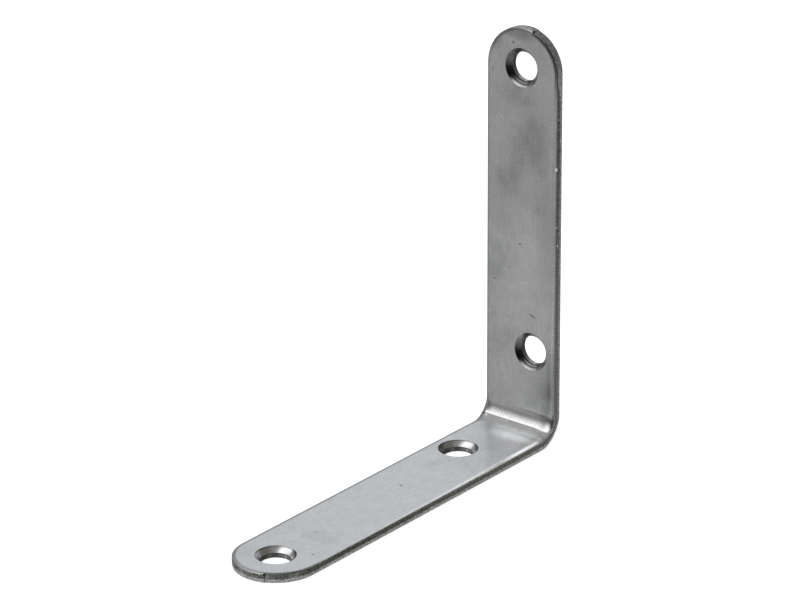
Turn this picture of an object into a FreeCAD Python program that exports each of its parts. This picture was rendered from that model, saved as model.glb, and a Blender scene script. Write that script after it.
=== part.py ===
# Corner brace: one zinc plated steel strip, bent to a right angle, with four countersunk screw holes.
# Sizes are in millimetres. The heel's outer planes are at x = 0 and z = 0 while the brace is made, with the
# lower leg along +X and the upright along +Z. It is then moved so that the origin is under its middle.

import FreeCAD, Part
import math
import os

from FreeCAD import Vector

# Driving dimensions of the strip and its bend
lowerLegLength = 100.0
uprightLength = 100.0
stripWidth = 19.75
thickness = 2.4
innerBendRadius = 4.5

# Sheared edge, from the inner face to the outer face: roll over, smooth band, slanted fracture, outer edge
rollWidth = 1.2
rollDepth = 0.4
rollCornerRadius = 0.18
fractureHeight = 0.95
fractureSlant = 0.07
outerEdgeRadius = 0.15

# Squeezed metal at the bend: the inside bulges past the strip's sides and the outside draws in
bendBulge = 0.2
bendNeck = 0.12
bendStations = 8

# Screw holes: a staggered pair near the bend and one in each rounded end, close to the end's centre
holeDiameter = 6.9
countersinkDiameter = 9.3
countersinkAngle = 90.0
bendHoleFromHeel = 21.6
bendHoleStagger = 3.1
endHoleShift = 0.35

# Two strokes crop each rounded end. The main stroke's arc starts from the -Y side and holds the tip, the late
# stroke's arc ends in the +Y side, and they meet at a match line with a small step and a nick in the inner edge.
# Their radii are given by how much they differ from half the width.
lowerMainExtra = 0.0
lowerLateExtra = 0.725
uprightMainExtra = 0.525
uprightLateExtra = -0.325
lowerMatchAngle = 24.5
uprightMatchAngle = 18.0
matchStep = 0.12
sectorCore = 1.0
nickRadius = 0.45
nickFootRadius = 0.05
nickDepth = 1.1

# Worked out from the driving dimensions
halfWidth = stripWidth / 2
outerBendRadius = innerBendRadius + thickness
countersinkDepth = (countersinkDiameter - holeDiameter) / 2 / math.tan(math.radians(countersinkAngle / 2))
across = Vector(0, 1, 0)
alongLeg = Vector(1, 0, 0)
throughLeg = Vector(0, 0, 1)


def arcPoints(centre, radius, start, end):
    """Start, middle and end of an arc in the section, with angles measured from the inner face's normal."""
    angles = (start, (start + end) / 2, end)
    return [(centre[0] + radius * math.sin(angle), centre[1] + radius * math.cos(angle)) for angle in angles]


def rollArcs():
    """The roll over, from the smooth band up to the inner face: two tangent arcs."""
    turn = 2 * math.atan((rollDepth - rollCornerRadius) / (rollWidth - rollCornerRadius))
    longRadius = (rollWidth - rollCornerRadius) / math.sin(turn) + rollCornerRadius
    cornerCentre = (halfWidth - rollCornerRadius, thickness - rollDepth)
    longCentre = (halfWidth - rollWidth, thickness - longRadius)
    cornerArc = arcPoints(cornerCentre, rollCornerRadius, math.pi / 2, turn)
    longArc = arcPoints(longCentre, longRadius, turn, 0)
    return cornerArc, longArc


def halfOutline(spread):
    """Lines and arcs of the strip's half section, from the middle of the outer face round to the inner face.

    Each is a list of 2 or 3 points (y, height above the outer face). Spread is 0 in the legs and 1 at
    the middle of the bend.
    """
    slantTop = (halfWidth, fractureHeight)
    outerCentre = (halfWidth - fractureSlant - outerEdgeRadius, outerEdgeRadius)
    outerArc = arcPoints(outerCentre, outerEdgeRadius, math.pi, math.pi / 2)
    cornerArc, longArc = rollArcs()
    pieces = [
        ((0.0, 0.0), outerArc[0]),
        outerArc,
        (outerArc[-1], slantTop),
        (slantTop, cornerArc[0]),
        cornerArc,
        longArc,
        (longArc[-1], (0.0, thickness)),
    ]

    def squeezed(point):
        y, height = point
        share = height / thickness
        growth = spread * (bendBulge * share - bendNeck * (1 - share))
        return (y * (1 + growth / halfWidth), height)

    return [[squeezed(point) for point in piece] for piece in pieces]


def outlineAt(radius):
    """The legs' half outline with its side at this distance and its flats starting at the sector's core."""
    moved = []
    for piece in halfOutline(0):
        points = []
        for y, height in piece:
            points.append((y + radius - halfWidth if y > 0 else sectorCore, height))
        moved.append(points)
    return moved


def edgesOf(outline, side, x):
    edges = []
    for piece in outline:
        points = [Vector(x, side * y, height) for y, height in piece]
        if len(points) == 2:
            edges.append(Part.LineSegment(*points).toShape())
        else:
            edges.append(Part.Arc(*points).toShape())
    return edges


def fullSection(spread, x):
    outline = halfOutline(spread)
    right = edgesOf(outline, 1, x)
    left = edgesOf(outline, -1, x)
    return Part.Wire(Part.__sortEdges__(right + left))


def halfSection(side, x):
    edges = edgesOf(halfOutline(0), side, x)
    edges.append(Part.LineSegment(Vector(x, 0, 0), Vector(x, 0, thickness)).toShape())
    return Part.Face(Part.Wire(Part.__sortEdges__(edges)))


def straightHalf(side, start, end):
    return halfSection(side, start).extrude(alongLeg * (end - start))


def roundedSector(side, centre, radius, turn):
    """Part of a rounded end: the section turned about the stroke's centre, from its own side.

    It starts a little way from that centre, inside the screw hole.
    """
    edges = edgesOf(outlineAt(radius), side, 0)
    core = Vector(0, side * sectorCore, 0)
    edges.append(Part.LineSegment(core, core + throughLeg * thickness).toShape())
    section = Part.Face(Part.Wire(Part.__sortEdges__(edges)))
    sector = section.revolve(Vector(0, 0, 0), throughLeg, -side * turn)
    sector.translate(centre)
    return sector


def countersunkHole(x, y):
    shaft = Part.makeCylinder(holeDiameter / 2, thickness, Vector(x, y, 0), throughLeg)
    sink = Part.makeCone(
        holeDiameter / 2, countersinkDiameter / 2, countersinkDepth,
        Vector(x, y, thickness - countersinkDepth), throughLeg,
    )
    return shaft.fuse(sink)


def matchNick(spot):
    foot = Vector(spot.x, spot.y, thickness - nickDepth)
    return Part.makeCone(nickFootRadius, nickRadius, nickDepth, foot, throughLeg)


def strokeArcs(length, mainRadius, lateRadius, matchAngle):
    """Centres of the two strokes' arcs and the two ends of the step between them."""
    mainCentre = Vector(length - mainRadius, mainRadius - halfWidth, 0)
    direction = Vector(math.cos(math.radians(matchAngle)), math.sin(math.radians(matchAngle)), 0)
    offset = Vector(length - halfWidth, 0, 0) - mainCentre
    along = offset.dot(direction)
    reach = math.sqrt(along ** 2 - offset.dot(offset) + mainRadius ** 2) - along
    outerSpot = mainCentre + offset + direction * reach
    innerSpot = outerSpot - direction * matchStep
    lateY = halfWidth - lateRadius
    lateX = innerSpot.x - math.sqrt(lateRadius ** 2 - (innerSpot.y - lateY) ** 2)
    return mainCentre, Vector(lateX, lateY, 0), outerSpot, innerSpot


def turnTo(centre, spot):
    return math.degrees(math.atan2(spot.y - centre.y, spot.x - centre.x))


def makeLeg(length, stagger, mainExtra, lateExtra, matchAngle):
    """A leg lying along +X from the end of the bend, with its rounded end, holes and match line."""
    start = outerBendRadius
    mainRadius = halfWidth + mainExtra
    lateRadius = halfWidth + lateExtra
    mainCentre, lateCentre, outerSpot, innerSpot = strokeArcs(length, mainRadius, lateRadius, matchAngle)
    pieces = [
        straightHalf(-1, start, mainCentre.x),
        straightHalf(1, start, lateCentre.x),
        roundedSector(-1, mainCentre, mainRadius, 90 + turnTo(mainCentre, outerSpot)),
        roundedSector(1, lateCentre, lateRadius, 90 - turnTo(lateCentre, innerSpot)),
    ]
    body = pieces[0].multiFuse(pieces[1:])
    cutters = [
        countersunkHole(length - halfWidth + endHoleShift, 0),
        countersunkHole(bendHoleFromHeel, stagger),
        matchNick(outerSpot),
    ]
    return body.cut(cutters)


def makeBend():
    """The bend, lofted through turned sections that widen inside and narrow outside at its middle."""
    sections = []
    for station in range(bendStations + 1):
        angle = 90 * station / bendStations
        spread = math.sin(math.radians(2 * angle)) ** 2
        section = fullSection(spread, outerBendRadius)
        section.rotate(Vector(outerBendRadius, 0, outerBendRadius), across, angle)
        sections.append(section)
    return Part.makeLoft(sections, True, False)


def makeBrace():
    lowerLeg = makeLeg(lowerLegLength, -bendHoleStagger, lowerMainExtra, lowerLateExtra, lowerMatchAngle)
    upright = makeLeg(uprightLength, bendHoleStagger, uprightMainExtra, uprightLateExtra, uprightMatchAngle)
    upright = upright.mirror(Vector(0, 0, 0), Vector(1, 0, -1))
    brace = makeBend().multiFuse([lowerLeg, upright]).removeSplitter()
    brace.translate(Vector(-lowerLegLength / 2, 0, 0))
    return brace


os.makedirs("parts", exist_ok=True)
brace = makeBrace()
brace.exportStep("parts/corner_brace.step")
print("corner_brace", len(brace.Solids), "solid, volume", round(brace.Volume, 1), "valid", brace.isValid())
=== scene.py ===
import math

import bmesh
import bpy
from mathutils import Matrix, Vector


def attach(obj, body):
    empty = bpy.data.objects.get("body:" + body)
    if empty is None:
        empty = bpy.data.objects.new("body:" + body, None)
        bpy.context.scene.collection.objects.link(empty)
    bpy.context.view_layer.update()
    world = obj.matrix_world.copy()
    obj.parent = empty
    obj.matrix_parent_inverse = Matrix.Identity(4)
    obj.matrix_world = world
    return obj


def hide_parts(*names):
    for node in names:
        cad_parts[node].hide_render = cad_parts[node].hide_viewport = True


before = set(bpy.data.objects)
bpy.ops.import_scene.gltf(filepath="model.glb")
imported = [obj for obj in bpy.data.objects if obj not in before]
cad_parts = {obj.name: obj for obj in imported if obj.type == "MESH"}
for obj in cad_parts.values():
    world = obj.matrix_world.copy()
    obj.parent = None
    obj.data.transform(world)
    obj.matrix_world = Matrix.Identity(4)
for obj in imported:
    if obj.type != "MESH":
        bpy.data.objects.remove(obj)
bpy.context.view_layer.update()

# Corner brace: a zinc plated steel strip, bent to a right angle. Its mesh is made in millimetres with the
# heel's outer planes at x = 0 and z = 0, and is moved to the CAD's place at the end.
strip = {
    "legLength": 100.0,
    "width": 19.75,
    "thickness": 2.4,
    "innerBendRadius": 4.5,
    "bendSteps": 60,
}
shearedEdge = {
    "rollWidth": 1.2,  # how far the rounding reaches in from the side
    "rollDepth": 0.4,
    "rollSteps": 12,
    "rollCornerRadius": 0.18,
    "cornerSteps": 5,
    "fractureHeight": 0.95,
    "fractureSlant": 0.07,
    "outerRadius": 0.15,
    "outerSteps": 4,
    "bendBulge": 0.2,  # metal squeezed out at the inside of the bend
    "bendNeck": 0.12,  # and drawn in at its outside
}
roundedEnd = {
    "matchStep": 0.12,
    "steps": 90,  # for half a turn
    "nickRadius": 0.45,
    "nickFootRadius": 0.05,
    "nickDepth": 1.1,
    "nickAbove": 0.5,  # how far its cutter stands over the face
    "nickSides": 24,
}
legs = {
    # how much each cropping stroke's radius differs from half the width, where the main and the late stroke
    # meet, in degrees, and the bend hole's offset
    "lower leg": {"mainExtra": 0.0, "lateExtra": 0.725, "matchAngle": 24.5, "stagger": -3.1},
    "upright": {"mainExtra": 0.525, "lateExtra": -0.325, "matchAngle": 18.0, "stagger": 3.1},
}
screwHole = {
    "radius": 3.45,
    "sinkRadius": 4.65,
    "sinkAngle": 90.0,
    "fromHeel": 21.6,
    "endShift": 0.35,
    "steps": 128,
    "lip": 0.05,
    "lipSteps": 3,
    "rimTurn": 30.0,  # edges at a hole that turn more than this get the lip
    "rimPlay": 0.1,  # an edge this far outside a sink still belongs to it
    "facePlay": 0.01,  # and a face
    "waistPlay": 0.02,  # a face this far over the waist is the sink's
}
sharpTurn = 32.0  # other edges that turn more than this stay sharp

halfWidth = strip["width"] / 2
thickness = strip["thickness"]
bendRadius = strip["innerBendRadius"] + thickness
sinkSlope = math.tan(math.radians(screwHole["sinkAngle"] / 2))
waist = thickness - (screwHole["sinkRadius"] - screwHole["radius"]) / sinkSlope
snap = 0.001  # points nearer than this are one point
flatTurn = 0.5  # faces that turn less than this, in degrees, are one flat face
flatNormal = 0.999  # a normal with this much of x or z is a flat face's
sinkSlot, wallSlot, nickSlot = 1, 2, 3  # material slots; the plated faces keep slot 0
acrossAxis = Vector((0, 1, 0))
alongAxis = Vector((1, 0, 0))
throughAxis = Vector((0, 0, 1))
swapLegs = Matrix(((0, 0, 1, 0), (0, 1, 0, 0), (1, 0, 0, 0), (0, 0, 0, 1)))


def vertsIn(geom):
    return [item for item in geom if isinstance(item, bmesh.types.BMVert)]


def edgesIn(geom):
    return [item for item in geom if isinstance(item, bmesh.types.BMEdge)]


def turnPoint(bm, vert, centre, axis, angle, steps):
    spun = bmesh.ops.spin(bm, geom=[vert], cent=centre, axis=axis, angle=angle, steps=steps)
    return vertsIn(spun["geom_last"])[0]


def linePoint(bm, vert, place):
    extruded = bmesh.ops.extrude_vert_indiv(bm, verts=[vert])["verts"][0]
    extruded.co = place
    return extruded


def rimProfile(bm, x):
    # the sheared edge's line on the +Y side, from the outer face round to the inner face
    edge = shearedEdge
    corner = edge["rollCornerRadius"]
    turn = 2 * math.atan((edge["rollDepth"] - corner) / (edge["rollWidth"] - corner))
    longRadius = (edge["rollWidth"] - corner) / math.sin(turn) + corner
    outer = edge["outerRadius"]
    outerY = halfWidth - edge["fractureSlant"] - outer
    before = set(bm.verts)
    point = bm.verts.new((x, outerY, 0))
    point = turnPoint(bm, point, (x, outerY, outer), alongAxis, math.pi / 2, edge["outerSteps"])
    point = linePoint(bm, point, (x, halfWidth, edge["fractureHeight"]))
    point = linePoint(bm, point, (x, halfWidth, thickness - edge["rollDepth"]))
    cornerCentre = (x, halfWidth - corner, thickness - edge["rollDepth"])
    point = turnPoint(bm, point, cornerCentre, alongAxis, math.pi / 2 - turn, edge["cornerSteps"])
    longCentre = (x, halfWidth - edge["rollWidth"], thickness - longRadius)
    turnPoint(bm, point, longCentre, alongAxis, turn, edge["rollSteps"])
    verts = [vert for vert in bm.verts if vert not in before]
    return verts, list({item for vert in verts for item in vert.link_edges})


def pushEdges(bm, edges, shift):
    pushed = bmesh.ops.extrude_edge_only(bm, edges=edges)["geom"]
    bmesh.ops.translate(bm, verts=vertsIn(pushed), vec=shift)
    return edgesIn(pushed)


def turnEdges(bm, edges, centre, axis, angle, steps):
    verts = list({vert for edge in edges for vert in edge.verts})
    spun = bmesh.ops.spin(bm, geom=verts + list(edges), cent=centre, axis=axis, angle=angle, steps=steps)
    return edgesIn(spun["geom_last"])


def strokeArcs(leg):
    # the two strokes' arcs and the two ends of the step between them, on a leg that lies along +X
    mainRadius = halfWidth + leg["mainExtra"]
    lateRadius = halfWidth + leg["lateExtra"]
    mainCentre = Vector((strip["legLength"] - mainRadius, mainRadius - halfWidth, 0))
    matchTurn = math.radians(leg["matchAngle"])
    direction = Vector((math.cos(matchTurn), math.sin(matchTurn), 0))
    offset = Vector((strip["legLength"] - halfWidth, 0, 0)) - mainCentre
    along = offset.dot(direction)
    reach = math.sqrt(along ** 2 - offset.dot(offset) + mainRadius ** 2) - along
    outerSpot = mainCentre + offset + direction * reach
    innerSpot = outerSpot - direction * roundedEnd["matchStep"]
    lateY = halfWidth - lateRadius
    lateX = innerSpot.x - math.sqrt(lateRadius ** 2 - (innerSpot.y - lateY) ** 2)
    lateCentre = Vector((lateX, lateY, 0))
    return {
        "mainCentre": mainCentre,
        "mainRadius": mainRadius,
        "mainTurn": math.atan2(outerSpot.y - mainCentre.y, outerSpot.x - mainCentre.x),
        "lateCentre": lateCentre,
        "lateRadius": lateRadius,
        "lateTurn": math.atan2(innerSpot.y - lateY, innerSpot.x - lateX),
        "outerSpot": outerSpot,
        "innerSpot": innerSpot,
    }


def holePlaces(leg):
    # distance from the heel and place across, of the end hole and of the bend hole
    endHole = strip["legLength"] - halfWidth + screwHole["endShift"]
    return [(endHole, 0), (screwHole["fromHeel"], leg["stagger"])]


def countersunkWall(bm, x, y):
    # a three point line turned once round the hole's axis
    hole = screwHole
    point = bm.verts.new((x + hole["sinkRadius"], y, thickness))
    line = [point]
    line.append(linePoint(bm, point, (x + hole["radius"], y, waist)))
    line.append(linePoint(bm, line[-1], (x + hole["radius"], y, 0)))
    edges = list({edge for vert in line for edge in vert.link_edges})
    bmesh.ops.spin(bm, geom=line + edges, cent=(x, y, 0), axis=throughAxis, angle=2 * math.pi,
                   steps=hole["steps"], use_merge=True)


def fillFlat(bm, height):
    # the boundary and the holes of one flat face are filled together
    edges = [edge for edge in bm.edges if edge.is_boundary
             and all(abs(vert.co.z - height) < snap for vert in edge.verts)]
    start = [vert for edge in edges for vert in edge.verts if abs(vert.co.x - bendRadius) < snap]
    edges.append(bm.edges.new(sorted(set(start), key=lambda vert: vert.co.y)))
    filled = bmesh.ops.triangle_fill(bm, use_beauty=True, edges=edges, normal=throughAxis)["geom"]
    inner = [edge for edge in edgesIn(filled) if edge not in edges]
    bmesh.ops.dissolve_limit(bm, angle_limit=math.radians(flatTurn), verts=[], edges=inner)


def makeLeg(leg):
    # the sheared edge goes out along +Y, round the end in two strokes and back along -Y
    bm = bmesh.new()
    arcs = strokeArcs(leg)
    edges = rimProfile(bm, bendRadius)[1]
    edges = pushEdges(bm, edges, alongAxis * (arcs["lateCentre"].x - bendRadius))
    lateAngle = math.pi / 2 - arcs["lateTurn"]
    lateSteps = round(roundedEnd["steps"] * lateAngle / math.pi)
    edges = turnEdges(bm, edges, arcs["lateCentre"], throughAxis, -lateAngle, lateSteps)
    edges = pushEdges(bm, edges, arcs["outerSpot"] - arcs["innerSpot"])
    verts = list({vert for edge in edges for vert in edge.verts})
    swing = Matrix.Rotation(arcs["mainTurn"] - arcs["lateTurn"], 3, "Z")
    bmesh.ops.rotate(bm, verts=verts, cent=arcs["outerSpot"], matrix=swing)
    mainAngle = arcs["mainTurn"] + math.pi / 2
    mainSteps = roundedEnd["steps"] - lateSteps
    edges = turnEdges(bm, edges, arcs["mainCentre"], throughAxis, -mainAngle, mainSteps)
    edges = pushEdges(bm, edges, alongAxis * (bendRadius - arcs["mainCentre"].x))
    # the last section stands exactly where the bend starts
    for edge in edges:
        for vert in edge.verts:
            vert.co.x = bendRadius
    for x, y in holePlaces(leg):
        countersunkWall(bm, x, y)
    bmesh.ops.remove_doubles(bm, verts=bm.verts, dist=snap)
    fillFlat(bm, 0)
    fillFlat(bm, thickness)
    return bm


def makeBend():
    # a ring of the strip's section, turned through a right angle and then squeezed
    bm = bmesh.new()
    rightVerts, rightEdges = rimProfile(bm, bendRadius)
    mirrored = bmesh.ops.mirror(bm, geom=rightVerts + rightEdges, matrix=Matrix(), axis="Y", merge_dist=0)
    verts = rightVerts + vertsIn(mirrored["geom"])
    for height in (0, thickness):
        ends = [vert for vert in verts if abs(vert.co.z - height) < snap]
        bm.edges.new(sorted(set(ends), key=lambda vert: vert.co.y))
    edges = list({edge for vert in verts for edge in vert.link_edges})
    centre = Vector((bendRadius, 0, bendRadius))
    turnEdges(bm, edges, centre, acrossAxis, math.pi / 2, strip["bendSteps"])
    for vert in bm.verts:
        arm = centre - vert.co
        share = (bendRadius - math.hypot(arm.x, arm.z)) / thickness
        spread = math.sin(2 * math.atan2(arm.x, arm.z)) ** 2
        growth = spread * (shearedEdge["bendBulge"] * share - shearedEdge["bendNeck"] * (1 - share))
        vert.co.y *= 1 + growth / halfWidth
    return bm


def objectFrom(bm, name):
    mesh = bpy.data.meshes.new(name)
    bm.to_mesh(mesh)
    bm.free()
    made = bpy.data.objects.new(name, mesh)
    bpy.context.scene.collection.objects.link(made)
    return made


def countOpenEdges(bm):
    return sum(not edge.is_manifold for edge in bm.edges)


def makeStrip():
    upright = makeLeg(legs["upright"])
    bmesh.ops.transform(upright, matrix=swapLegs, verts=upright.verts)
    whole = bmesh.new()
    for part in (makeLeg(legs["lower leg"]), upright, makeBend()):
        mesh = bpy.data.meshes.new("part")
        part.to_mesh(mesh)
        part.free()
        whole.from_mesh(mesh)
        bpy.data.meshes.remove(mesh)
    bmesh.ops.remove_doubles(whole, verts=whole.verts, dist=snap)
    bmesh.ops.recalc_face_normals(whole, faces=whole.faces)
    print("strip made, open edges", countOpenEdges(whole))
    return objectFrom(whole, "braceStrip")


def nickCone(bm, spot):
    # a cone whose foot is in the edge and whose wide end is above the face
    foot = roundedEnd["nickFootRadius"]
    depth = roundedEnd["nickDepth"]
    tall = depth + roundedEnd["nickAbove"]
    wide = foot + (roundedEnd["nickRadius"] - foot) * tall / depth
    middle = Vector((spot.x, spot.y, thickness - depth + tall / 2))
    cone = bmesh.ops.create_cone(bm, cap_ends=True, segments=roundedEnd["nickSides"], radius1=foot,
                                 radius2=wide, depth=tall, matrix=Matrix.Translation(middle))
    return cone["verts"]


def nickCutter():
    bm = bmesh.new()
    nickCone(bm, strokeArcs(legs["lower leg"])["outerSpot"])
    other = nickCone(bm, strokeArcs(legs["upright"])["outerSpot"])
    bmesh.ops.transform(bm, matrix=swapLegs, verts=other)
    bmesh.ops.recalc_face_normals(bm, faces=bm.faces)
    for face in bm.faces:
        face.material_index = nickSlot
    return objectFrom(bm, "nickCutter")


def cutNicks(brace):
    cutter = nickCutter()
    boolean = brace.modifiers.new("nicks", "BOOLEAN")
    boolean.operation = "DIFFERENCE"
    boolean.solver = "EXACT"
    boolean.object = cutter
    graph = bpy.context.evaluated_depsgraph_get()
    cut = bpy.data.meshes.new_from_object(brace.evaluated_get(graph))
    brace.modifiers.clear()
    plain = brace.data
    brace.data = cut
    bpy.data.meshes.remove(plain)
    bpy.data.objects.remove(cutter)


def nearHole(place):
    # distance from the nearest hole's axis, and height above the outer face
    if place.x > place.z:
        leg, along, height = legs["lower leg"], place.x, place.z
    else:
        leg, along, height = legs["upright"], place.z, place.x
    return min(math.hypot(along - x, place.y - y) for x, y in holePlaces(leg)), height


def bevelRims(bm):
    rims = []
    for edge in bm.edges:
        reach = nearHole((edge.verts[0].co + edge.verts[1].co) / 2)[0]
        atHole = reach < screwHole["sinkRadius"] + screwHole["rimPlay"]
        if atHole and edge.calc_face_angle(0) > math.radians(screwHole["rimTurn"]):
            rims.append(edge)
    bmesh.ops.bevel(bm, geom=rims, offset=screwHole["lip"], segments=screwHole["lipSteps"], profile=0.5,
                    affect="EDGES", material=-1)


def finishBrace(brace):
    bm = bmesh.new()
    bm.from_mesh(brace.data)
    bevelRims(bm)
    for face in bm.faces:
        face.smooth = True
        reach, height = nearHole(face.calc_center_median())
        flat = max(abs(face.normal.x), abs(face.normal.z)) > flatNormal
        if reach < screwHole["sinkRadius"] + screwHole["facePlay"] and not flat:
            overWaist = height > waist + screwHole["waistPlay"]
            face.material_index = sinkSlot if overWaist else wallSlot
    for edge in bm.edges:
        edge.smooth = edge.calc_face_angle(0) < math.radians(sharpTurn)
    # from millimetres at the heel to metres at the CAD's origin
    bmesh.ops.translate(bm, verts=bm.verts, vec=(-strip["legLength"] / 2, 0, 0))
    bmesh.ops.scale(bm, verts=bm.verts, vec=(0.001, 0.001, 0.001))
    print("finished brace, faces", len(bm.faces), "open edges", countOpenEdges(bm))
    bm.to_mesh(brace.data)
    bm.free()
    weighted = brace.modifiers.new("flats stay flat", "WEIGHTED_NORMAL")
    weighted.keep_sharp = True
    weighted.mode = "FACE_AREA"


brace = makeStrip()
cutNicks(brace)
finishBrace(brace)


class Signal:
    # a node's output that can be used in a sum
    def __init__(self, shader, socket):
        self.shader = shader
        self.socket = socket

    def math(self, operation, *others):
        return self.shader.math(operation, self, *others)

    def __add__(self, other):
        return self.math("ADD", other)

    def __radd__(self, other):
        return self.math("ADD", other)

    def __sub__(self, other):
        return self.math("SUBTRACT", other)

    def __rsub__(self, other):
        return self.shader.math("SUBTRACT", other, self)

    def __mul__(self, other):
        return self.math("MULTIPLY", other)

    def __rmul__(self, other):
        return self.math("MULTIPLY", other)

    def __truediv__(self, other):
        return self.math("DIVIDE", other)

    def unsigned(self):
        return self.math("ABSOLUTE")


class Shader:
    def __init__(self, tree):
        self.tree = tree

    def feed(self, socket, value):
        if isinstance(value, Signal):
            self.tree.links.new(value.socket, socket)
        else:
            socket.default_value = value

    def node(self, kind, settings, inputs, output=0):
        made = self.tree.nodes.new(kind)
        for key, value in settings.items():
            setattr(made, key, value)
        for key, value in inputs.items():
            self.feed(made.inputs[key], value)
        return Signal(self, made.outputs[output])

    def math(self, operation, *values):
        return self.node("ShaderNodeMath", {"operation": operation}, dict(enumerate(values)))

    def rise(self, value, low, high):
        # 0 below low, 1 above high, smooth between
        settings = {"interpolation_type": "SMOOTHSTEP"}
        return self.node("ShaderNodeMapRange", settings, {0: value, 1: low, 2: high})

    def fall(self, value, low, high):
        # 1 below low, 0 above high, smooth between
        return 1 - self.rise(value, low, high)

    def mixColour(self, factor, first, second):
        settings = {"data_type": "RGBA"}
        return self.node("ShaderNodeMix", settings, {0: factor, 6: first, 7: second}, 2)

    def scaleColour(self, colour, factor):
        return self.node("ShaderNodeVectorMath", {"operation": "SCALE"}, {0: colour, "Scale": factor})

    def mixValue(self, factor, first, second):
        return self.node("ShaderNodeMix", {"data_type": "FLOAT"}, {0: factor, 2: first, 3: second})

    def vector(self, x, y, z):
        return self.node("ShaderNodeCombineXYZ", {}, {0: x, 1: y, 2: z})

    def noise(self, place, scale, detail=3.0, rough=0.55, distortion=0.0):
        inputs = {
            "Vector": place,
            "Scale": scale,
            "Detail": detail,
            "Roughness": rough,
            "Distortion": distortion,
        }
        return self.node("ShaderNodeTexNoise", {}, inputs)

    def bump(self, millimetres):
        inputs = {"Strength": 1.0, "Distance": 0.001, "Height": millimetres}
        return self.node("ShaderNodeBump", {}, inputs)


surfaceSockets = {
    "colour": "Base Color",
    "roughness": "Roughness",
    "metallic": "Metallic",
    "normal": "Normal",
}


def newMaterial(name):
    material = bpy.data.materials.new(name)
    material.use_nodes = True
    shader = Shader(material.node_tree)
    shader.material = material
    shader.surface = material.node_tree.nodes["Principled BSDF"]
    return shader


def setSurface(shader, **inputs):
    for name, value in inputs.items():
        shader.feed(shader.surface.inputs[surfaceSockets[name]], value)


def outputOf(signal, index):
    return Signal(signal.shader, signal.socket.node.outputs[index])


def legDistance(shader, leg, along, across):
    # how far in from the cropped side, in the arc of the stroke that made that part of the side
    arcs = strokeArcs(leg)
    reach = []
    for stroke in ("main", "late"):
        centre = arcs[stroke + "Centre"]
        past = (along - centre.x).math("MAXIMUM", 0)
        aside = across - centre.y
        reach.append(arcs[stroke + "Radius"] - (past * past + aside * aside).math("SQRT"))
    middle = strip["legLength"] - halfWidth
    past = (along - middle).math("MAXIMUM", 0)
    matchTurn = math.radians(leg["matchAngle"])
    fromMatch = across * math.cos(matchTurn) - past * math.sin(matchTurn)
    return shader.mixValue(fromMatch.math("GREATER_THAN", 0), reach[0], reach[1]), fromMatch


def stripPlace(shader):
    # millimetres along, across and through the strip as it was before bending, and in from its side
    coords = shader.node("ShaderNodeTexCoord", {}, {}, "Object")
    metres = shader.node("ShaderNodeSeparateXYZ", {}, {0: coords})
    x = metres * 1000 + strip["legLength"] / 2
    y = outputOf(metres, 1) * 1000
    z = outputOf(metres, 2) * 1000
    armX = (bendRadius - x).math("MAXIMUM", 0)
    armZ = (bendRadius - z).math("MAXIMUM", 0)
    through = bendRadius - (armX * armX + armZ * armZ).math("SQRT")
    turn = armZ.math("ARCTAN2", armX) - math.pi / 4
    along = (x - bendRadius).math("MAXIMUM", 0) - (z - bendRadius).math("MAXIMUM", 0) + turn * bendRadius
    # the squeezed bend is put back to the strip's width
    spread = (turn * 2).math("COSINE")
    share = through / thickness
    squeeze = share * (shearedEdge["bendBulge"] + shearedEdge["bendNeck"]) - shearedEdge["bendNeck"]
    growth = spread * spread * squeeze
    across = y / (1 + growth / halfWidth)
    onUpright = z.math("GREATER_THAN", x)
    lowerEdge, lowerMatch = legDistance(shader, legs["lower leg"], x, across)
    uprightEdge, uprightMatch = legDistance(shader, legs["upright"], z, across)
    return {
        "x": x,
        "y": y,
        "z": z,
        "along": along,
        "across": across,
        "through": through,
        "flat": shader.vector(along, across, through),
        "onUpright": onUpright,
        "fromEdge": shader.mixValue(onUpright, lowerEdge, uprightEdge),
        "fromMatch": shader.mixValue(onUpright, lowerMatch, uprightMatch),
    }


def holeDistance(place):
    # from the nearest hole's axis
    nearest = None
    for name, run in (("lower leg", "x"), ("upright", "z")):
        for x, y in holePlaces(legs[name]):
            past = place[run] - x
            aside = place["y"] - y
            reach = (past * past + aside * aside).math("SQRT")
            nearest = reach if nearest is None else nearest.math("MINIMUM", reach)
    return nearest


def fromHole(shader, place, name, run):
    # along and across one leg, from the middle of the nearer of its two holes
    (endX, endY), (bendX, bendY) = holePlaces(legs[name])
    nearBend = place[run].math("LESS_THAN", strip["legLength"] / 2)
    past = place[run] - shader.mixValue(nearBend, endX, bendX)
    aside = place["across"] - shader.mixValue(nearBend, endY, bendY)
    return past, aside


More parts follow.
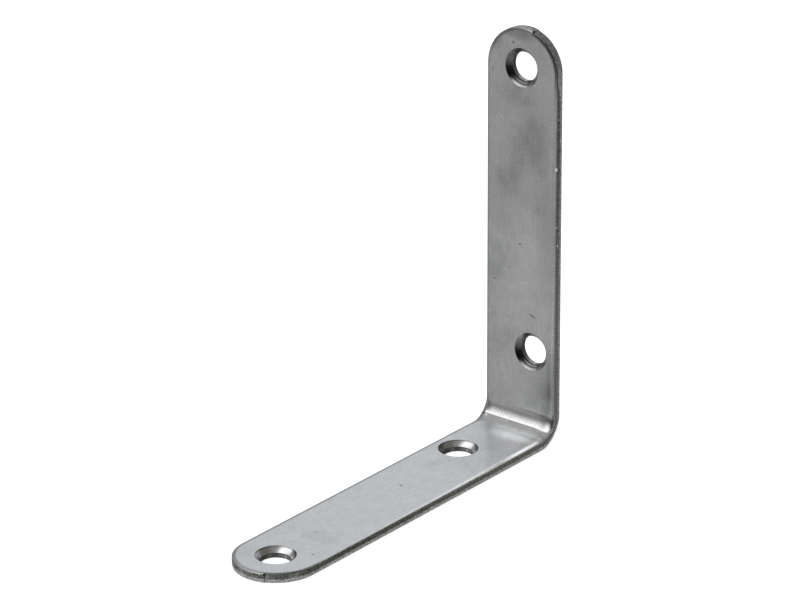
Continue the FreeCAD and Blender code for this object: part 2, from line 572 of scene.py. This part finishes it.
# In the finishes below a pair of numbers is where a soft change starts and where it is whole: a reach or a
# zone in mm, a range in the values of the noise that it is made from.
zinc = {
    "colour": (0.635, 0.64, 0.645, 1),
    "cloudColour": (0.585, 0.59, 0.595, 1),
    "cloudSize": 3.0,  # mm
    "cloudRange": (0.32, 0.68),
    "stainColour": (0.50, 0.51, 0.505, 1),
    "stainSize": 9.0,  # mm
    "stainRange": (0.54, 0.70),
    "stainShare": 0.6,
    "speckColour": (0.22, 0.22, 0.22, 1),
    "speckScale": 0.22,
    "speckRange": (0.012, 0.03),
    "speckShare": 0.8,
    "fineGrainScale": 2.5,
    "grainShade": 0.62,
    "rollingScale": 2.6,
    "rollingShade": 0.30,  # fine lines along the strip
    "roughness": 0.24,
    "bendRoughness": 0.16,
    "footRoughness": 0.34,  # on the lower leg beside the bend
    "cloudRoughness": 0.08,
    "markFade": (0.2, 1.0),  # from the middle of a patch or mark, in shares of its size
    "bendZone": (3.5, 7.0),  # from the middle of the bend
    "footZone": (1.4, 2.4),
    "footEndZone": (7.0, 12.0),
    "innerFaceReach": (1.0, 1.2),  # above the outer face
    "creaseShade": -0.62,  # painted shade: a dark line along the bend, where the light on it ends
    "creasePlace": 0.6,
    "creaseReach": (0.2, 0.42),
    "creaseEndZone": (5.0, 8.5),
}
relief = {
    # heights in mm, and those named for the bend are there alone
    "waviness": 0.006,
    "grainSize": 0.35,
    "grain": 0.0012,
    "bendWaviness": 0.016,
    "bendWrinkles": 0.012,
    "bendGrain": 0.010,
    "bowDepth": 1.1,  # the lower leg opens a little near the bend
    "bowZone": (-6.0, 50.0),
    "curlWidth": 2.4,  # how far in from the sides the squeezed bend curls
    "curlDepth": 0.4,
    "streaks": 0.012,
    "pits": 0.07,
}
platingPatchesAndPaintedLight = {
    # lighter and darker patches and small marks on the inner faces, among them painted highlight, painted
    # reflection and painted shade: distance from the heel, across, half length, half width, turn in degrees
    # and how much lighter or darker
    "upright": [
        (73.5, 3.6, 11.0, 6.5, 0, -0.26),
        (55.0, 7.0, 20.0, 4.5, 0, -0.12),
        (30.0, 6.5, 9.0, 4.5, 0, 0.10),
        # painted shade over the reflection on the bend's curled +Y side
        (6.5, 7.8, 4.5, 2.6, 0, -0.35),
        (11.0, 6.0, 7.0, 5.0, 0, -0.08),
        # painted shade over the reflection in the +Y roll near the bend
        (15.0, 8.7, 12.0, 1.7, 0, -0.28),
        (60.0, -7.5, 35.0, 3.5, 0, -0.05),
        (69.0, -1.5, 9.0, 3.5, 0, -0.13),
        (84.0, -1.0, 6.0, 8.0, 0, -0.12),
        (62.5, -3.4, 6.0, 5.0, 0, -0.17),
        (72.0, -7.4, 9.0, 2.6, 0, 0.07),
        (46.0, 2.0, 14.0, 8.0, 0, 0.16),
        (32.0, -1.0, 13.0, 11.0, 0, 0.13),
        (15.0, -3.0, 9.0, 9.0, 0, 0.08),
        (94.5, 3.0, 6.0, 6.0, 0, -0.08),
        (98.8, -1.0, 2.6, 8.0, 0, -0.35),
        (95.5, -7.2, 3.0, 2.2, 30, -0.25),
        (47.0, -7.5, 9.0, 4.0, 0, 0.12),
        (77.6, -5.9, 1.7, 0.22, 125, 0.30),
        (96.1, -2.4, 0.45, 0.45, 0, -0.75),
        (88.6, -8.2, 0.35, 0.35, 0, -0.45),
        (47.6, -0.2, 0.4, 0.5, 0, -0.65),
        (41.1, -3.3, 0.35, 0.4, 0, -0.5),
        (37.3, -7.6, 0.4, 0.4, 0, -0.5),
        (30.6, 3.5, 1.4, 0.36, 110, -0.75),
    ],
    "lower leg": [
        (25.0, 3.0, 8.0, 7.0, 0, -0.08),
        (93.0, -6.0, 6.0, 4.0, 0, -0.06),
        # painted highlight along the lower leg's +Y roll near the bend
        (12.0, 9.4, 16.0, 0.8, 0, 0.60),
        (9.0, 7.8, 8.0, 1.3, 0, -0.16),
        # painted reflection of the light on the bend
        (8.7, 2.5, 3.2, 7.5, 0, 0.42),
        (45.4, -0.9, 1.3, 0.5, 60, -0.42),
        (44.6, -1.6, 1.2, 0.4, 60, 0.10),
        (76.1, -0.4, 0.5, 0.5, 0, -0.25),
        (74.6, 0.9, 0.5, 0.3, 40, -0.20),
        (85.4, 6.3, 0.45, 0.45, 0, -0.65),
    ],
}
shearFinish = {
    "sideReach": (0.1, 0.16),  # in from the side
    "sideTopReach": (2.0, 2.08),  # above the outer face
    "endZone": (82.0, 90.0),  # zones are measured from the middle of the bend
    "darkest": 0.3,
    "speckle": 0.95,
    "speckleRange": (0.36, 0.64),
    # the smooth band
    "streakDark": (0.40, 0.40, 0.37, 1),
    "streakLight": (0.68, 0.68, 0.66, 1),
    "burnishRoughness": 0.28,
    "streakRoughness": 0.1,
    "nearBendZone": (10.0, 70.0),
    "nearBendShade": 0.6,  # how much lighter it gets towards the bend
    "uprightNearBendShade": 0.5,  # and how much more so on the upright
    "uprightSideShade": 0.2,
    "mainEndShade": -0.33,  # the main stroke's side is darker round the lower leg's end
    "uprightMatchShade": -0.85,  # and beside the upright's match line
    "besideMatchReach": (-5.0, -2.0),
    # the torn part and the ragged line over it
    "tornDark": (0.25, 0.25, 0.25, 1),
    "tornLight": (0.54, 0.54, 0.54, 1),
    "tornRoughness": 0.6,
    "tornMetal": 0.35,
    "pitRange": (0.3, 0.65),
    "tornSpeckle": 0.6,
    "uprightTornShade": -0.2,
    "uprightEndZone": (85.0, 92.0),
    "uprightEndShade": -0.2,
    "tearHeight": 0.92,  # above the outer face
    "tearRagged": 0.6,
    "tearSoftness": 0.08,
    "uprightLateTear": 1.2,  # the upright's late stroke tore nearly the whole side
    # where the two strokes meet
    "matchReach": (0.03, 0.1),
    "matchZone": (86.0, 88.0),
    "matchDark": 0.6,
    "uprightMatchDark": 0.1,
    # how far in the late strokes' dark edges reach, and how dark they are
    "uprightLateRoll": 0.65,
    "uprightLateRollShade": -0.7,
    "lowerLateRoll": 0.45,
    "lowerLateRollShade": -0.6,
    "rollRagged": 0.6,
    "rollSoftness": 0.1,
    # bright chips in the upright's side: height from the heel, height above the outer face and size
    "chips": [(68.1, 2.05, 0.45), (53.9, 1.9, 0.3), (49.3, 1.5, 0.35), (80.0, 1.6, 0.25)],
    "chipColour": (0.62, 0.62, 0.62, 1),
    "chipFlatness": 0.7,
    "chipRange": (0.6, 1.0),
    "chipReach": 0.4,
}


def platingAndPaintedLightOn(shader, leg, along, across):
    # 1 where the plating is plain, more or less in the leg's patches and marks, among them painted
    # highlight, painted reflection and painted shade
    shade = 1.0
    for middle, aside, halfLong, halfBroad, turn, change in platingPatchesAndPaintedLight[leg]:
        cosine, sine = math.cos(math.radians(turn)), math.sin(math.radians(turn))
        u, w = along - middle, across - aside
        lengthwise = (u * cosine + w * sine) / halfLong
        crosswise = (w * cosine - u * sine) / halfBroad
        out = (lengthwise * lengthwise + crosswise * crosswise).math("SQRT")
        shade = shader.fall(out, *zinc["markFade"]) * change + shade
    return shade


def plateNoises(shader, place):
    # the patterns that more than one part of the finish is made from
    along, across, through, flat = place["along"], place["across"], place["through"], place["flat"]
    speckle = shader.rise(shader.noise(flat, 2.2, 2, 0.6), *shearFinish["speckleRange"]) - 0.5
    return {
        "clouds": shader.noise(flat, 1 / zinc["cloudSize"], 4),
        "fineGrain": shader.noise(flat, zinc["fineGrainScale"], 2, 0.6),
        "streaks": shader.noise(shader.vector(along, across, through * 0.12), 4.0, 4, 0.6),
        "pits": shader.noise(flat, 3.5, 5, 0.7),
        "speckle": speckle * shearFinish["speckle"],
    }


def plateMasks(shader, place):
    # each is 1 on its own part of the strip
    along, through, fromMatch = place["along"], place["through"], place["fromMatch"]
    finish = shearFinish
    away = along.unsigned()
    innerFace = shader.rise(through, *zinc["innerFaceReach"])
    onSide = shader.fall(place["fromEdge"], *finish["sideReach"])
    onSide = onSide * shader.fall(through, *finish["sideTopReach"])
    atEnd = shader.rise(away, *finish["endZone"])
    lateEnd = atEnd * fromMatch.math("GREATER_THAN", 0)
    ragged = shader.noise(shader.vector(along, place["across"], 0.0), 0.9, 5, 0.65)
    tearLine = ragged * finish["tearRagged"] + (finish["tearHeight"] - finish["tearRagged"] / 2)
    tearLine = tearLine + lateEnd * place["onUpright"] * finish["uprightLateTear"]
    torn = shader.fall(through - tearLine, -finish["tearSoftness"], finish["tearSoftness"]) * onSide
    matchLine = shader.fall(fromMatch.unsigned(), *finish["matchReach"]) * onSide
    return {
        "away": away,
        "inBend": shader.fall(away, *zinc["bendZone"]),
        "atFoot": shader.rise(along, *zinc["footZone"]) * shader.fall(along, *zinc["footEndZone"]),
        "innerFace": innerFace,
        "onSide": onSide,
        "torn": torn,
        "burnish": onSide - torn,
        "lateEnd": lateEnd,
        "mainEnd": atEnd * fromMatch.math("LESS_THAN", 0),
        "matchLine": matchLine * shader.rise(away, *finish["matchZone"]),
    }


def platedColour(shader, place, masks, noises):
    # soft clouds, a few stains and dark specks, under the patches with their painted highlight, reflection
    # and shade, the rolling lines and the grain
    clouds, innerFace = noises["clouds"], masks["innerFace"]
    clouded = shader.rise(clouds, *zinc["cloudRange"])
    colour = shader.mixColour(clouded, zinc["cloudColour"], zinc["colour"])
    stains = shader.noise(place["flat"], 1 / zinc["stainSize"], 3, 0.6, 0.4)
    stained = shader.rise(stains, *zinc["stainRange"]) * zinc["stainShare"]
    colour = shader.mixColour(stained, colour, zinc["stainColour"])
    cells = shader.node("ShaderNodeTexVoronoi", {}, {"Vector": place["flat"], "Scale": zinc["speckScale"]})
    specks = shader.fall(cells, *zinc["speckRange"]) * shader.rise(clouds, 0.45, 0.55)
    colour = shader.mixColour(specks * zinc["speckShare"], colour, zinc["speckColour"])
    shade = shader.mixValue(place["onUpright"], platingAndPaintedLightOn(shader, "lower leg", place["x"], place["across"]),
                            platingAndPaintedLightOn(shader, "upright", place["z"], place["across"]))
    lines = shader.vector(place["along"] * 0.12, place["across"], place["through"])
    rolling = shader.noise(lines, zinc["rollingScale"], 3, 0.6)
    shade = shade * innerFace + (1 - innerFace) + (rolling - 0.5) * zinc["rollingShade"]
    return shader.scaleColour(colour, shade + (noises["fineGrain"] - 0.5) * zinc["grainShade"])


def bandColour(shader, place, masks, noises):
    # the smooth band of the side, streaked through the thickness
    finish = shearFinish
    colour = shader.mixColour(noises["streaks"], finish["streakDark"], finish["streakLight"])
    nearBendShade = place["onUpright"] * finish["uprightNearBendShade"] + finish["nearBendShade"]
    shade = shader.fall(masks["away"], *finish["nearBendZone"]) * nearBendShade + 1
    shade = shade + place["onUpright"] * finish["uprightSideShade"]
    besideMatch = shader.rise(place["fromMatch"], *finish["besideMatchReach"]) * finish["uprightMatchShade"]
    endShade = shader.mixValue(place["onUpright"], finish["mainEndShade"], besideMatch)
    shade = shade + masks["mainEnd"] * endShade + noises["speckle"]
    return shader.scaleColour(colour, shade.math("MAXIMUM", finish["darkest"]))


def tornColour(shader, place, masks, noises):
    finish = shearFinish
    colour = shader.mixColour(shader.rise(noises["pits"], *finish["pitRange"]), finish["tornDark"],
                              finish["tornLight"])
    shade = place["onUpright"] * finish["uprightTornShade"] + 1
    uprightEnd = shader.rise(masks["away"], *finish["uprightEndZone"]) * place["onUpright"]
    shade = shade + uprightEnd * finish["uprightEndShade"] + noises["speckle"] * finish["tornSpeckle"]
    return shader.scaleColour(colour, shade.math("MAXIMUM", finish["darkest"]))


def edgeShade(shader, place, masks, noises):
    # the dark edges that the late strokes rolled over, and the painted shade along the bend's crease
    finish = shearFinish
    onUpright = place["onUpright"]
    rollReach = shader.mixValue(onUpright, finish["lowerLateRoll"], finish["uprightLateRoll"])
    rollEdge = place["fromEdge"] + (noises["pits"] - 0.5) * finish["rollRagged"] - rollReach
    rolled = shader.fall(rollEdge, -finish["rollSoftness"], finish["rollSoftness"])
    lateRoll = masks["lateEnd"] * rolled * (1 - masks["onSide"]) * masks["innerFace"]
    rollShade = shader.mixValue(onUpright, finish["lowerLateRollShade"], finish["uprightLateRollShade"])
    # painted shade: a dark line along the bend where its light ends
    fromCrease = (place["along"] - zinc["creasePlace"]).unsigned()
    crease = shader.fall(fromCrease, *zinc["creaseReach"])
    crease = crease * shader.fall(place["across"], *zinc["creaseEndZone"])
    return lateRoll * rollShade + crease * masks["innerFace"] * zinc["creaseShade"] + 1


def chipMask(shader, place, noises):
    # small bright chips in the upright's side
    finish = shearFinish
    chips = None
    for height, depth, size in finish["chips"]:
        u = (place["z"] - height) / size
        w = (place["through"] - depth) / (size * finish["chipFlatness"])
        out = (u * u + w * w).math("SQRT") + (noises["pits"] - 0.5)
        chip = shader.fall(out, *finish["chipRange"])
        chips = chip if chips is None else chips.math("MAXIMUM", chip)
    onNearSide = place["across"].math("GREATER_THAN", halfWidth - finish["chipReach"])
    return chips * place["onUpright"] * onNearSide


def reliefHeight(shader, place, masks, noises):
    # waves that grow at the bend, the bow of the lower leg, the curl of the bend's sides and the torn pits
    along, across = place["along"], place["across"]
    inBend, innerFace = masks["inBend"], masks["innerFace"]
    waves = shader.noise(place["flat"], 0.6, 3, 0.5)
    wrinkles = shader.noise(shader.vector(along * 1.6, across * 0.7, place["through"]), 1.6, 3, 0.6)
    grain = shader.noise(place["flat"], 1 / relief["grainSize"], 3)
    waviness = inBend * (relief["bendWaviness"] - relief["waviness"]) + relief["waviness"]
    faceHeight = waves * waviness + grain * relief["grain"]
    bendHeight = wrinkles * relief["bendWrinkles"] + noises["fineGrain"] * relief["bendGrain"]
    faceHeight = faceHeight + bendHeight * inBend
    bow = shader.rise(along, *relief["bowZone"]) * innerFace * -relief["bowDepth"]
    nearSide = (1 - place["fromEdge"] / relief["curlWidth"]).math("MAXIMUM", 0)
    curl = nearSide * nearSide * inBend * innerFace * -relief["curlDepth"]
    sideHeight = masks["burnish"] * noises["streaks"] * relief["streaks"]
    sideHeight = sideHeight + masks["torn"] * noises["pits"] * relief["pits"]
    return (faceHeight + bow + curl) * (1 - masks["onSide"]) + sideHeight


def plateMaterial():
    shader = newMaterial("zincPlate")
    place = stripPlace(shader)
    noises = plateNoises(shader, place)
    masks = plateMasks(shader, place)
    burnish, torn = masks["burnish"], masks["torn"]
    colour = platedColour(shader, place, masks, noises)
    colour = shader.mixColour(burnish, colour, bandColour(shader, place, masks, noises))
    colour = shader.mixColour(torn, colour, tornColour(shader, place, masks, noises))
    matchDark = shader.mixValue(place["onUpright"], shearFinish["matchDark"],
                                shearFinish["uprightMatchDark"])
    colour = shader.scaleColour(colour, 1 - masks["matchLine"] * matchDark)
    colour = shader.scaleColour(colour, edgeShade(shader, place, masks, noises))
    plain = shader.mixValue(masks["inBend"], zinc["roughness"], zinc["bendRoughness"])
    roughness = shader.mixValue(masks["atFoot"], plain, zinc["footRoughness"])
    roughness = roughness + (noises["clouds"] - 0.5) * zinc["cloudRoughness"]
    streakRoughness = (noises["streaks"] - 0.5) * shearFinish["streakRoughness"]
    roughness = shader.mixValue(burnish, roughness, streakRoughness + shearFinish["burnishRoughness"])
    roughness = shader.mixValue(torn, roughness, shearFinish["tornRoughness"])
    metallic = 1 - torn * (1 - shearFinish["tornMetal"])
    chips = chipMask(shader, place, noises)
    colour = shader.mixColour(chips, colour, shearFinish["chipColour"])
    metallic = metallic * (1 - chips)
    normal = shader.bump(reliefHeight(shader, place, masks, noises))
    setSurface(shader, colour=colour, roughness=roughness, metallic=metallic, normal=normal)
    return shader.material


turning = {
    "colour": (0.60, 0.60, 0.60),
    "roughness": 0.27,
    "ringSpacing": 0.26,  # mm, measured from the hole's axis
    "ringHeight": 0.0015,
    "ringShade": 0.36,
}
uprightSinks = {
    # painted shade below their middle, but for the +Y side, the rim and one ring; the zones are shares of
    # the sink's radius, below its middle or to its +Y side, and the reaches are from the hole's axis
    "shadedLevel": 0.15,
    "shadedZone": (-0.12, 0.2),
    "deeperShade": 0.5,
    "deeperShadeZone": (0.2, 0.5),
    "footLight": 0.1,
    "footZone": (0.6, 0.95),
    "brightSideZone": (0.3, 0.5),
    "rim": 0.6,
    "rimReach": (4.1, 4.4),
    "rimZone": (0.5, 0.8),
    "ring": 0.4,
    "ringReach": 3.8,
    "ringWidth": (0.05, 0.16),
    "ringZone": (0.45, 0.8),
}
lowerSinks = {
    # brighter, with darker rims and heel sides, and painted shade on the tip side of the one near the bend
    "level": 1.22,
    "tipDirection": (0.625, -0.781),  # along and across
    "paintedTipShade": 0.8,
    "paintedTipShadeReach": (2.4, 4.1),
    "heelShade": 0.65,
    "heelReach": (3.5, 4.3),
    "rimShade": 0.45,
    "rimReach": (4.3, 4.55),
}


def uprightLevel(shader, place, reach, drift):
    # 1 where a sink is as bright as its metal
    sinks = uprightSinks
    past, aside = fromHole(shader, place, "upright", "z")
    below = past * -1 / screwHole["sinkRadius"]
    beside = aside / screwHole["sinkRadius"]
    rim = shader.rise(reach + (drift - 0.5) * 0.2, *sinks["rimReach"])
    rim = rim * shader.rise(below, *sinks["rimZone"]) * sinks["rim"]
    ring = shader.fall((reach - sinks["ringReach"]).unsigned(), *sinks["ringWidth"])
    rim = rim + ring * shader.rise(below, *sinks["ringZone"]) * sinks["ring"]
    # painted shade: the level of the sink's darkened lower half
    shadedLevel = sinks["shadedLevel"] * (1 - shader.rise(below, *sinks["deeperShadeZone"]) * sinks["deeperShade"])
    shadedLevel = shadedLevel + shader.rise(below, *sinks["footZone"]) * sinks["footLight"]
    shadedLevel = shadedLevel + shader.rise(beside, *sinks["brightSideZone"])
    level = shader.rise(below + (drift - 0.5) * 0.3, *sinks["shadedZone"])
    return 1 - level * (1 - rim.math("MAXIMUM", shadedLevel).math("MINIMUM", 1.0))


def lowerLevel(shader, place, reach, drift):
    sinks = lowerSinks
    past, aside = fromHole(shader, place, "lower leg", "x")
    tipSide = past * sinks["tipDirection"][0] + aside * sinks["tipDirection"][1]
    nearBend = place["x"].math("LESS_THAN", strip["legLength"] / 2)
    # painted shade on the tip side of the sink near the bend
    paintedTipShade = shader.rise(tipSide + (drift - 0.5) * 1.5, *sinks["paintedTipShadeReach"]) * sinks["paintedTipShade"] * nearBend
    heelSide = shader.rise(tipSide * -1 + (drift - 0.5) * 0.5, *sinks["heelReach"]) * sinks["heelShade"]
    rimShade = shader.rise(reach, *sinks["rimReach"]) * sinks["rimShade"]
    return (1 - paintedTipShade) * (1 - heelSide) * (1 - rimShade) * sinks["level"]


def turnedMaterial():
    # fine rings left by the countersinking tool
    shader = newMaterial("turnedSink")
    place = stripPlace(shader)
    reach = holeDistance(place)
    drift = shader.noise(place["flat"], 0.7, 2)
    rings = (reach * (2 * math.pi / turning["ringSpacing"]) + drift * 3).math("SINE")
    fine = shader.noise(shader.vector(reach * 9, 0.0, 0.0), 1.0, 3)
    normal = shader.bump(rings * turning["ringHeight"] / 2 + fine * turning["ringHeight"])
    level = shader.mixValue(place["onUpright"], lowerLevel(shader, place, reach, drift),
                            uprightLevel(shader, place, reach, drift))
    shade = level * (1 - (rings.math("MAXIMUM", 0) + fine - 0.5) * turning["ringShade"])
    colour = shader.scaleColour(turning["colour"], shade)
    setSurface(shader, colour=colour, roughness=turning["roughness"], metallic=1.0, normal=normal)
    return shader.material


punching = {
    "dark": (0.22, 0.22, 0.21, 1),
    "light": (0.46, 0.46, 0.45, 1),
    "roughness": 0.34,
    "streakHeight": 0.02,  # mm
    # painted shade in the nick: its floor is near black
    "nickColour": (0.1, 0.1, 0.1, 1),
    "nickRoughness": 0.6,
}


def wallMaterial():
    # straight punched walls, streaked through the thickness
    shader = newMaterial("punchedWall")
    place = stripPlace(shader)
    stretched = shader.vector(place["along"], place["across"], place["through"] * 0.15)
    streaks = shader.noise(stretched, 3.5, 4, 0.6)
    colour = shader.mixColour(streaks, punching["dark"], punching["light"])
    normal = shader.bump(streaks * punching["streakHeight"])
    setSurface(shader, colour=colour, roughness=punching["roughness"], metallic=1.0, normal=normal)
    return shader.material


def nickMaterial():
    shader = newMaterial("nickFloor")
    # near black floor: painted shade in the nick
    setSurface(shader, colour=punching["nickColour"], roughness=punching["nickRoughness"], metallic=1.0)
    return shader.material


# in the order of the material slots
for material in (plateMaterial(), turnedMaterial(), wallMaterial(), nickMaterial()):
    brace.data.materials.append(material)
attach(brace, "root")
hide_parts("corner_brace")
print("brace in place")

studio = {
    "floorSize": 6.0,
    "floorGap": 0.00005,
    "floorColour": (0.93, 0.93, 0.93, 1),
    "floorGlow": 0.75,
}
room = {
    "grey": (0.30, 0.30, 0.30, 1),
    # direction, colour, and the angles from it within which it is whole and beyond which it is gone
    "patches": {
        "ceiling": ((0.0, -0.55, 0.83), (0.50, 0.50, 0.50, 1), 24, 42),
        "backWall": ((-0.85, -0.25, 0.45), (0.82, 0.85, 0.875, 1), 24, 33),
        "lowFront": ((0.72, -0.58, -0.39), (0.455, 0.455, 0.455, 1), 18, 30),
        "nearSide": ((-0.72, 0.58, -0.39), (0.10, 0.10, 0.095, 1), 25, 55),
        "behindCamera": ((0.75, 0.60, 0.10), (0.08, 0.08, 0.08, 1), 20, 34),
        "front": ((0.99, 0.08, 0.08), (0.15, 0.15, 0.15, 1), 8, 16),
        "leftWindow": ((0.26, -0.75, 0.607), (1.6, 1.6, 1.6, 1), 5, 14),
        "highLeft": ((-0.45, 0.60, 0.65), (0.16, 0.155, 0.135, 1), 24, 40),
        "farSide": ((-0.35, -0.93, -0.10), (0.32, 0.33, 0.34, 1), 22, 42),
        "farHigh": ((-0.10, -0.93, 0.35), (0.30, 0.30, 0.31, 1), 10, 24),
        "frontRight": ((0.96, -0.27, 0.02), (0.20, 0.20, 0.20, 1), 10, 19),
        "lowRight": ((0.93, 0.0, -0.36), (0.42, 0.42, 0.42, 1), 8, 18),
        "leftLow": ((0.50, -0.85, 0.05), (0.20, 0.20, 0.20, 1), 10, 22),
        "overShoulder": ((0.58, 0.72, -0.39), (0.11, 0.11, 0.11, 1), 15, 25),
        "below": ((0.13, 0.03, -0.99), (0.16, 0.16, 0.16, 1), 20, 45),
    },
}
softWindow = {
    # a big soft light, fading away from its brightest place and cut straight along its top edge, in degrees
    "azimuth": -22,
    "elevation": 52,
    "colour": (2.3, 2.3, 2.3, 1),
    "centre": 0.98,
    "azimuthFade": 0.011,
    "elevationFade": 0.0198,
    "rounding": 2.5,  # degrees round its brightest place that are nearly even
    "facing": -15,  # azimuth of its face's middle
    "topSlope": 1.914,
    "topSoftness": (-0.01, 0.03),
    "leftEnd": -76,
    "leftSoftness": 0.08,
}


def makeFloor():
    bm = bmesh.new()
    bmesh.ops.create_grid(bm, x_segments=1, y_segments=1, size=studio["floorSize"] / 2,
                          matrix=Matrix.Translation((0, 0, -studio["floorGap"])))
    floor = objectFrom(bm, "studioFloor")
    shader = newMaterial("paleFloor")
    setSurface(shader, colour=studio["floorColour"], roughness=0.9)
    shader.surface.inputs["Emission Color"].default_value = (1, 1, 1, 1)
    shader.surface.inputs["Emission Strength"].default_value = studio["floorGlow"]
    floor.data.materials.append(shader.material)
    floor.visible_glossy = False


def makeWorld():
    # a grey room with softly bounded lighter and darker sides, and one bright soft window
    world = bpy.data.worlds.new("softRoom")
    world.use_nodes = True
    shader = Shader(world.node_tree)
    background = world.node_tree.nodes["Background"]
    coords = shader.node("ShaderNodeTexCoord", {}, {}, "Generated")
    colour = room["grey"]
    for direction, patch, whole, gone in room["patches"].values():
        away = shader.node("ShaderNodeVectorMath", {"operation": "DOT_PRODUCT"},
                           {0: coords, 1: Vector(direction).normalized()}, "Value")
        share = shader.rise(away, math.cos(math.radians(gone)), math.cos(math.radians(whole)))
        colour = shader.mixColour(share, colour, patch)
    x = shader.node("ShaderNodeSeparateXYZ", {}, {0: coords})
    y = outputOf(x, 1)
    z = outputOf(x, 2)
    azimuth = y.math("ARCTAN2", x)
    light = softWindow["centre"]
    for angle, key in ((azimuth, "azimuth"), (z.math("ARCSINE"), "elevation")):
        away = angle * (180 / math.pi) - softWindow[key]
        fromPeak = (away * away + softWindow["rounding"] ** 2).math("SQRT") - softWindow["rounding"]
        light = fromPeak * -softWindow[key + "Fade"] + light
    share = shader.rise(light, 0.0, 1.0)
    facing = math.radians(softWindow["facing"])
    outward = x * math.cos(facing) + y * math.sin(facing)
    share = share * shader.rise(outward * softWindow["topSlope"] - z, *softWindow["topSoftness"])
    leftEnd = math.radians(softWindow["leftEnd"])
    share = share * shader.rise(azimuth, leftEnd, leftEnd + softWindow["leftSoftness"])
    colour = shader.mixColour(share, colour, softWindow["colour"])
    world.node_tree.links.new(colour.socket, background.inputs["Color"])
    bpy.context.scene.world = world


photoView = {
    "azimuth": 128.7694,
    "elevation": 22.8452,
    "roll": -0.2425,
    "distance": 1.059214,
    "aim": (-0.001221, 0.0017897, 0.0495996),
    "lens": 215.3588,
}


def makeCamera():
    data = bpy.data.cameras.new("photoCamera")
    data.lens = photoView["lens"]
    data.sensor_width = 36
    data.sensor_fit = "HORIZONTAL"
    data.clip_start = 0.05
    data.clip_end = 20
    camera = bpy.data.objects.new("photoCamera", data)
    turn = (Matrix.Rotation(math.radians(photoView["azimuth"]), 4, "Z")
            @ Matrix.Rotation(math.radians(90 - photoView["elevation"]), 4, "X")
            @ Matrix.Rotation(math.radians(photoView["roll"]), 4, "Z"))
    back = turn @ Vector((0, 0, 1))
    camera.matrix_world = Matrix.Translation(Vector(photoView["aim"]) + back * photoView["distance"]) @ turn
    bpy.context.scene.collection.objects.link(camera)
    bpy.context.scene.camera = camera


makeFloor()
makeWorld()
makeCamera()
bpy.context.scene.view_settings.view_transform = "Standard"
print("studio ready")
